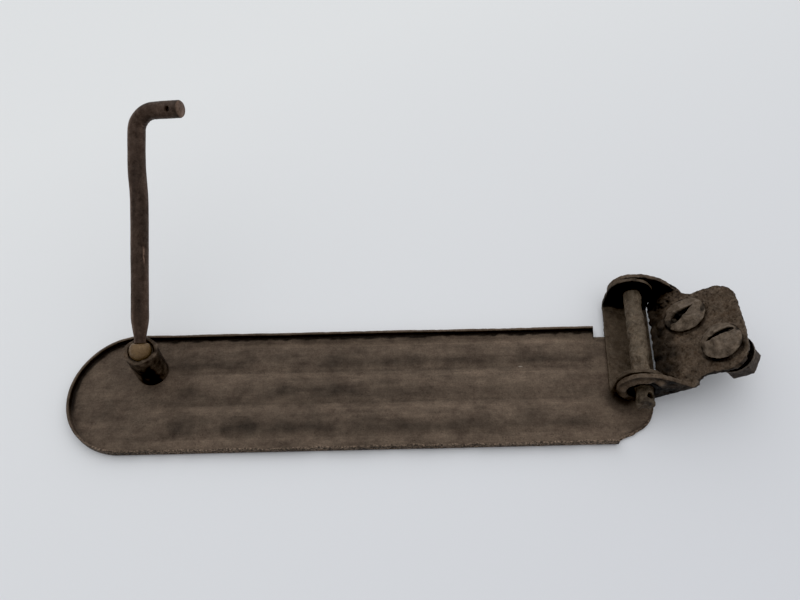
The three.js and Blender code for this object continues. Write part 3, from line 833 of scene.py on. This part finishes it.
# the hollow round the pin's near end is painted with shade out to POCKET_R
POCKET_R = 14.2  # the dark hollow round the pin's near end
COLLAR_START = 13.2  # the lumpy collar round that hollow
COLLAR_END = 20.5
HEAD_R = 15.8
HEAD_RISE = 6.6
HEAD_RIM = 2.2
SLOT_WIDTH = 3.0
SLOT_DEPTH = 3.4
# along and across: the place on the plate. turn: of the slot, degrees. open_end: half-width of the
# slot's open end. shift: of the slot off the middle. widen: how far the head is beaten out along.
BOLTS = {
    1: dict(along=36.6, across=50.8, turn=27, open_end=4.6, shift=0.8, widen=1.12),
    2: dict(along=61.5, across=16.4, turn=196, open_end=2.4, shift=-4.6, widen=1.04),
}


def bracket_axes():
    """Rows are the bracket's own X (along the plate), Y (along the pin) and Z (square to the plate)."""
    level = PIN_AXIS.cross(Vector((0, 0, 1)))
    along = level * math.cos(TILT * RAD) + Vector((0, 0, math.sin(TILT * RAD)))
    return np.array((along, PIN_AXIS, along.cross(PIN_AXIS)))


def hinge_axes():
    """Rows are the hinge's own X (level, away from the arm), Y (along the pin) and Z (up)."""
    up = Vector((0, 0, 1))
    return np.array((PIN_AXIS.cross(up), PIN_AXIS, up))


def faces_near(obj):
    """1 where the surface faces back along the pin, to the near side, and -1 where it faces away."""
    return normals_of(obj) @ -np.array(PIN_AXIS)


def far_ear_inner_shade(near_facing, across):
    """1 on the inner face of an ear at the pin's far end, which faces away from the light and gets painted
    shade.
    """
    return np.clip(2.5 * near_facing, 0, 1) * ramp(across, 60, 70)


def near_ear_outer_shade(near_facing, across):
    """1 on the outer face of an ear at the pin's near end, which faces away from the light and gets
    painted shade.
    """
    return np.clip(near_facing, 0, 1) * ramp(across, 0, -6)


def hinge_yoke():
    """The yoke on the arm, eaten by rust except on the faces close to the bracket."""
    obj = fine_copy("yoke", "hinge_yoke", 0.6, 4)
    level, across, up = ((points_of(obj) - HINGE) @ hinge_axes().T).T
    clear = np.clip((17.5 - level) / 6, 0.15, 1)
    weather(obj, 41, (24, 0.8), (8, 0.7), (3.2, 0.4), share=clear, eat=True)
    near_facing = faces_near(obj)
    corner = ramp(across, 55, 75) * ramp(up, 4, -16)
    web = ramp(level, 14, 17) * ramp(across, -6, 0)
    # painted shade on the far ear's inner face and on the near ear's outer face; darker low at the far
    # corner
    tone = 1.12 - 1.2 * far_ear_inner_shade(near_facing, across) - 0.3 * corner
    tone += 0.1 * web - 0.6 * near_ear_outer_shade(near_facing, across)
    tone += 0.3 * ripple(np.stack((level, across, up), axis=1), 5, 44)
    paint(obj, "tone", np.clip(tone, 0.06, 1.8))
    return obj


def hinge_pin():
    """The pin, its near end dark."""
    obj = fine_copy("pin", "hinge_pin", 0.5, 3)
    weather(obj, 51, (18, 1.8), (8, 2.2), (3, 0.9), eat=True)
    local = (points_of(obj) - HINGE) @ hinge_axes().T
    near_end = ramp(local[:, 1], -14, -19)
    tone = 1.05 - near_end * (0.35 + 0.5 * ripple(local, 5, 54)) + 0.35 * ripple(local, 7, 55)
    tone += 0.3 * ripple(local, 2.5, 56)
    paint(obj, "tone", np.clip(tone, 0.1, 1.8))
    return obj


def frame_bracket():
    """The bracket: its folds rounded, its tongue's edge broken, its near ear lumpy round the pin, and
    all of it eaten by rust except close to the yoke."""
    obj = fine_copy("bracket", "frame_bracket", 0.6, 3)
    axes = bracket_axes()
    local = (points_of(obj) - HINGE) @ axes.T
    for face, sign in ((EAR_OUTER_FAR, 1), (EAR_OUTER_NEAR, -1)):
        offset = local[:, 1:3] - (face - sign * FOLD_R, PLATE_BOTTOM + FOLD_R)
        outside_fold = (offset[:, 0] * sign > 0) & (offset[:, 1] < 0)
        reach = np.maximum(np.linalg.norm(offset, axis=1), FOLD_R)
        rounded = local[:, 1:3] - offset + offset * (FOLD_R / reach)[:, None]
        local[:, 1:3] = np.where(outside_fold[:, None], rounded, local[:, 1:3])
    tongue = ramp(local[:, 0], 9, 6) * (local[:, 2] < PLATE_TOP + 0.8) * (local[:, 1] > -6)
    jut = 0.65 + 1.5 * ripple(local * (0, 1, 0), 5, 68) + 1.0 * ramp(local[:, 1], 58, 66)
    local[:, 0] -= tongue * np.clip(jut, -0.5, 1.5)
    on_near_ear = ramp(local[:, 1], EAR_OUTER_NEAR + 1.0, EAR_OUTER_NEAR + 0.2)
    from_pin = np.hypot(local[:, 0], local[:, 2])
    collar = ramp(from_pin, COLLAR_START, COLLAR_START + 1.6) * ramp(from_pin, COLLAR_END, COLLAR_END - 3)
    collar *= ramp(local[:, 2], -5, 3)
    lumps = np.clip(2.2 + 2.6 * ripple(local * (1, 0, 1), 7, 69), 0, 3.4)
    local[:, 1] -= on_near_ear * collar * lumps
    set_points(obj, local @ axes + HINGE)
    clear = np.clip((local[:, 0] - 5) / 6, 0.2, 1) * np.clip((PLATE_TOP + 8 - local[:, 2]) / 6, 0.35, 1)
    weather(obj, 61, (26, 0.8), (11, 1.8), (5, 1.7), (2.2, 0.9), share=clear, eat=True)
    tone = bracket_tone(local, faces_near(obj), from_pin, collar * on_near_ear)
    paint(obj, "tone", np.clip(tone, 0.06, 1.8))
    return obj


def bracket_tone(local, near_facing, from_pin, collar):
    """Painted shade inside the far ear, on the near ear, in the hollow round the pin's near end, in the
    plate's far corner and below the plate, and painted shadows under the heads' lower edges; dark by the
    hinge, with a paler collar on the near ear."""
    along, across, up = local.T
    on_plate = ramp(up, PLATE_TOP + 2, PLATE_TOP)
    # painted shade on the near ear's outer face, in the hollow round the pin, in the plate's far corner
    # and below the plate
    near_ear_shade = near_ear_outer_shade(near_facing, across)
    by_hinge = on_plate * np.clip((27 - along + 6 * ripple(local, 10, 65)) / 15, 0, 1)
    far_corner_shade = on_plate * ramp(across, 66, 78) * ramp(along, 40, 28)
    below = ramp(up, PLATE_BOTTOM + 1.2, PLATE_BOTTOM)
    pocket_shade = near_ear_shade * ramp(from_pin, POCKET_R, POCKET_R - 1.2)
    # painted shadows under the heads' lower edges
    head_shadows = np.zeros(len(local))
    for bolt in BOLTS.values():
        reach = np.hypot((along - bolt["along"]) / 1.06, across - bolt["across"])
        lower_side = np.clip(0.35 - (across - bolt["across"]) / HEAD_R, 0, 1)
        head_shadows += lower_side * ramp(reach, HEAD_R + 3.2, HEAD_R + 1.7)
    tone = 1.28 - 1.25 * far_ear_inner_shade(near_facing, across) - 0.95 * near_ear_shade
    tone -= 1.0 * by_hinge + 0.6 * far_corner_shade + 0.7 * below + 0.9 * pocket_shade
    tone += 0.9 * collar - 0.9 * on_plate * np.clip(head_shadows, 0, 1)
    tone += 0.45 * ripple(local * (0.6, 1, 1), 5, 66) + 0.25 * ripple(local, 18, 67)
    return tone


def bolt_head(number, seed, along, across, turn, open_end, shift, widen):
    """A domed head, worn to rough facets, with its slot closed up at one end."""
    obj = fine_copy(f"bolt_{number}", f"frame_bolt_{number}", 0.4, 2)
    axes = bracket_axes()
    place = (along, across, PLATE_TOP)
    local = (points_of(obj) - HINGE) @ axes.T - place
    radius = np.hypot(local[:, 0], local[:, 1])
    in_head = local[:, 2] > 0.2
    way, side = math.cos(turn * RAD), math.sin(turn * RAD)
    along_slot = local[:, 0] * way + local[:, 1] * side
    from_middle = local[:, 1] * way - local[:, 0] * side
    dome = HEAD_RISE + 0.3 - (HEAD_RISE - HEAD_RIM) * (radius / HEAD_R) ** 2

    # the CAD's straight slot is filled first
    above_plate = local[:, 2] > 0.8
    over_slot = (np.abs(from_middle) < SLOT_WIDTH / 2 + 0.8) & above_plate & (radius < HEAD_R - 0.4)
    local[:, 2] = np.where(over_slot, np.maximum(local[:, 2], dome), local[:, 2])
    on_top = ramp(local[:, 2] - dome, -1.6, -0.8) * (local[:, 2] > 0.8)
    lumps = -3.4 * np.abs(ripple(local, 10, seed)) + 1.2 * ripple(local, 5, seed + 1) - 0.1
    local[:, 2] += on_top * np.minimum(lumps, 0.2)

    # then the worn one is sunk into the dome
    half_width = np.interp(along_slot, (-13, -9, -2, 9), (0.3, open_end, 0.8 * open_end, 0.3))
    groove = np.clip(1.5 * (1 - np.abs(from_middle - shift) / (half_width + 0.5)), 0, 1)
    groove *= ramp(along_slot, 10, 6) * ramp(along_slot, -13, -10.5)
    local[:, 2] -= on_top * (SLOT_DEPTH + 0.8) * groove
    local[:, 0] *= np.where(in_head, widen, 1)
    set_points(obj, (local + place) @ axes + HINGE)
    weather(obj, seed + 2, (6, 0.6), (2.6, 0.35), eat=True)
    # painted shade round the head's foot, where it meets the plate
    foot_shade = ramp(local[:, 2], 1.6, 0.8)
    tone = 1.25 - 1.6 * on_top * np.clip(1.6 * groove, 0, 1) - 0.9 * foot_shade
    tone += 0.45 * ripple(local, 4, seed + 5)
    paint(obj, "tone", np.clip(tone, 0.05, 1.8))
    return obj


def hardware(name, node, seed, side_tone):
    """A washer or nut: painted shade on the face it clamps with and on faces toward the near side, paler
    on its sides.
    """
    obj = fine_copy(name, node, 0.45, 2)
    weather(obj, seed, (6, 0.5), (2.4, 0.25), eat=True)
    normals = normals_of(obj)
    # painted shade on the face toward the plate, which the plate shades, and on faces toward the near side
    shaded_clamping_face = ramp(normals @ bracket_axes()[2], 0.4, 0.7)
    near_facing = np.clip(-normals[:, 1], 0, 1)
    tone = side_tone - 1.2 * shaded_clamping_face - 0.45 * near_facing + 0.3 * ripple(points_of(obj), 4, seed + 5)
    paint(obj, "tone", np.clip(tone, 0.05, 1.8))
    return obj


# ---------------------------------------------------------------- materials
ARM_STEEL = rusty_steel(
    "pan_steel", srgb(66, 55, 47), srgb(82, 70, 60), srgb(99, 86, 73), gloss=(0.55, 0.8), patch=38,
    mottle=9, grain=1.3, wear=0.6, pits=0.35, rough=0.4, contrast=0.26, streaks=0.12, painted=True)
ROD_STEEL = rusty_steel(
    "rod_steel", srgb(37, 27, 21), srgb(53, 41, 34), srgb(80, 66, 57), gloss=(0.42, 0.75), metal=0.2,
    patch=30, mottle=5, grain=0.8, wear=0.6, rough=0.35, contrast=0.4, painted=True)
PIPE_STEEL = rusty_steel(
    "pipe_steel", srgb(30, 21, 15), srgb(50, 39, 30), srgb(86, 74, 62), patch=12, mottle=4, wear=0.8,
    painted=True)
BALL_STEEL = rusty_steel(
    "ball_steel", srgb(78, 58, 34), srgb(96, 75, 48), srgb(122, 100, 72), gloss=(0.35, 0.6), metal=0.2,
    patch=8, mottle=2.5, grain=0.6, wear=0.3, rough=0.25)
YOKE_STEEL = rusty_steel(
    "yoke_steel", srgb(50, 40, 30), srgb(68, 57, 46), srgb(88, 77, 65), patch=22, mottle=6, wear=0.8,
    rough=0.6, painted=True)
PIN_STEEL = rusty_steel(
    "pin_steel", srgb(66, 54, 42), srgb(84, 73, 60), srgb(108, 97, 84), gloss=(0.45, 0.75), metal=0.15,
    patch=14, mottle=4, wear=0.6, rough=0.7, contrast=0.4, painted=True)
BRACKET_STEEL = rusty_steel(
    "bracket_steel", srgb(44, 32, 21), srgb(68, 56, 45), srgb(90, 79, 68), gloss=(0.5, 0.85), patch=26,
    mottle=4, wear=0.9, pits=0.7, rough=1.0, contrast=0.42, painted=True)
BOLT_STEEL = rusty_steel(
    "bolt_steel", srgb(58, 48, 38), srgb(80, 69, 58), srgb(104, 93, 82), gloss=(0.45, 0.75), metal=0.15,
    patch=12, mottle=3.5, wear=0.7, rough=0.7, painted=True)
NUT_STEEL = rusty_steel(
    "nut_steel", srgb(50, 41, 34), srgb(72, 61, 53), srgb(98, 87, 77), gloss=(0.45, 0.7), metal=0.15,
    patch=10, mottle=3, wear=0.8, rough=0.6, painted=True)
SEAT_STEEL = rusty_steel(
    "seat_steel", srgb(30, 22, 16), srgb(44, 34, 26), srgb(60, 50, 40), patch=8, mottle=3)

# ---------------------------------------------------------------- pieces
finish_piece(arm_pan(), ARM_STEEL, "arm", "arm_pan")
finish_piece(socket_tube(), PIPE_STEEL, "arm", "socket_tube")
finish_piece(hook_rod(), ROD_STEEL, "rod", "hook_rod")
finish_piece(rod_ball(), BALL_STEEL, "ball", "rod_ball")
finish_piece(hinge_yoke(), YOKE_STEEL, "arm", "hinge_yoke")
finish_piece(hinge_pin(), PIN_STEEL, "pin", "hinge_pin")
finish_piece(frame_bracket(), BRACKET_STEEL, "bracket", "frame_bracket")
for number, bolt in BOLTS.items():
    head = bolt_head(number, 70 + 4 * number, **bolt)
    washer = hardware(f"washer_{number}", f"bolt_washer_{number}", 80 + number, side_tone=1.2)
    nut = hardware(f"nut_{number}", f"bolt_nut_{number}", 90 + number, side_tone=0.95)
    finish_piece(head, BOLT_STEEL, "bracket", f"frame_bolt_{number}")
    finish_piece(washer, BOLT_STEEL, "bracket", f"bolt_washer_{number}")
    finish_piece(nut, NUT_STEEL, "bracket", f"bolt_nut_{number}")
seat = frame["nodes"]["ball_seat"]
seat.data.materials.clear()
seat.data.materials.append(SEAT_STEEL)


# ---------------------------------------------------------------- floor, light and camera
FLOOR_HALF = 3.0  # metres
FLOOR_GAP = 0.0002  # metres between the object and the floor
CAMERA_PLACE = (0.22917, -0.2749, 0.5362)  # metres
CAMERA_PITCH = 55.57  # degrees below level
CAMERA_ROLL = -1.3
CAMERA_LENS = 31.5
CAMERA_SENSOR = 36


def floor():
    """A plain pale floor, its colour painted a little darker toward the near right as the light falls off.
    """
    height = min(0.0, CAD_BOX[0][2]) - FLOOR_GAP
    corners = [(FLOOR_HALF * x, FLOOR_HALF * y, height) for x, y in ((-1, -1), (1, -1), (1, 1), (-1, 1))]
    mesh = bpy.data.meshes.new("floor")
    mesh.from_pydata(corners, [], [(0, 1, 2, 3)])
    obj = bpy.data.objects.new("floor", mesh)
    bpy.context.scene.collection.objects.link(obj)
    n = Nodes("pale_floor")
    across = n.tree.nodes.new("ShaderNodeVectorMath")
    across.operation = "DOT_PRODUCT"
    across.inputs[1].default_value = (0.5, -0.87, 0)
    n.link(n.coords, across.inputs[0])
    # painted light: the colour falls off toward the near right as the light would
    light_fall_off = n.remap(across.outputs["Value"], -0.35, 0.5)
    n.link(n.mix(light_fall_off, srgb(226, 228, 229), srgb(210, 212, 217)), n.shader.inputs["Base Color"])
    n.shader.inputs["Roughness"].default_value = 0.9
    n.shader.inputs["Specular IOR Level"].default_value = 0.1
    mesh.materials.append(n.material)


def sun(name, heading, height, spread, strength):
    """A soft distant light from a heading (degrees from +X) and a height above level."""
    data = bpy.data.lights.new(name, "SUN")
    data.angle = spread * RAD
    data.energy = strength
    obj = bpy.data.objects.new(name, data)
    level = math.cos(height * RAD)
    source = Vector((level * math.cos(heading * RAD), level * math.sin(heading * RAD),
                     math.sin(height * RAD)))
    obj.rotation_euler = source.to_track_quat("Z", "Y").to_euler()
    bpy.context.scene.collection.objects.link(obj)


def sky(colour, strength):
    """Even light from all round."""
    world = bpy.data.worlds.new("studio")
    world.use_nodes = True
    background = world.node_tree.nodes["Background"]
    background.inputs["Color"].default_value = colour
    background.inputs["Strength"].default_value = strength
    bpy.context.scene.world = world


def film():
    """Plain colours, with the deepest shades taken down to black."""
    view = bpy.context.scene.view_settings
    view.view_transform = "Standard"
    view.use_curve_mapping = True
    view.curve_mapping.black_level = (0.004, 0.004, 0.004)
    view.curve_mapping.update()


def camera():
    """Looks steeply down at the object from its near side."""
    data = bpy.data.cameras.new("camera")
    data.lens = CAMERA_LENS
    data.sensor_width = CAMERA_SENSOR
    data.clip_start = 0.01
    obj = bpy.data.objects.new("camera", data)
    pitch = Matrix.Rotation((90 - CAMERA_PITCH) * RAD, 4, "X")
    roll = Matrix.Rotation(CAMERA_ROLL * RAD, 4, "Z")
    obj.matrix_world = Matrix.Translation(CAMERA_PLACE) @ pitch @ roll
    bpy.context.scene.collection.objects.link(obj)
    bpy.context.scene.camera = obj


floor()
sun("window", 84, 62, 130, 1.85)
sky((0.97, 0.98, 1.0, 1), 0.45)
film()
camera()
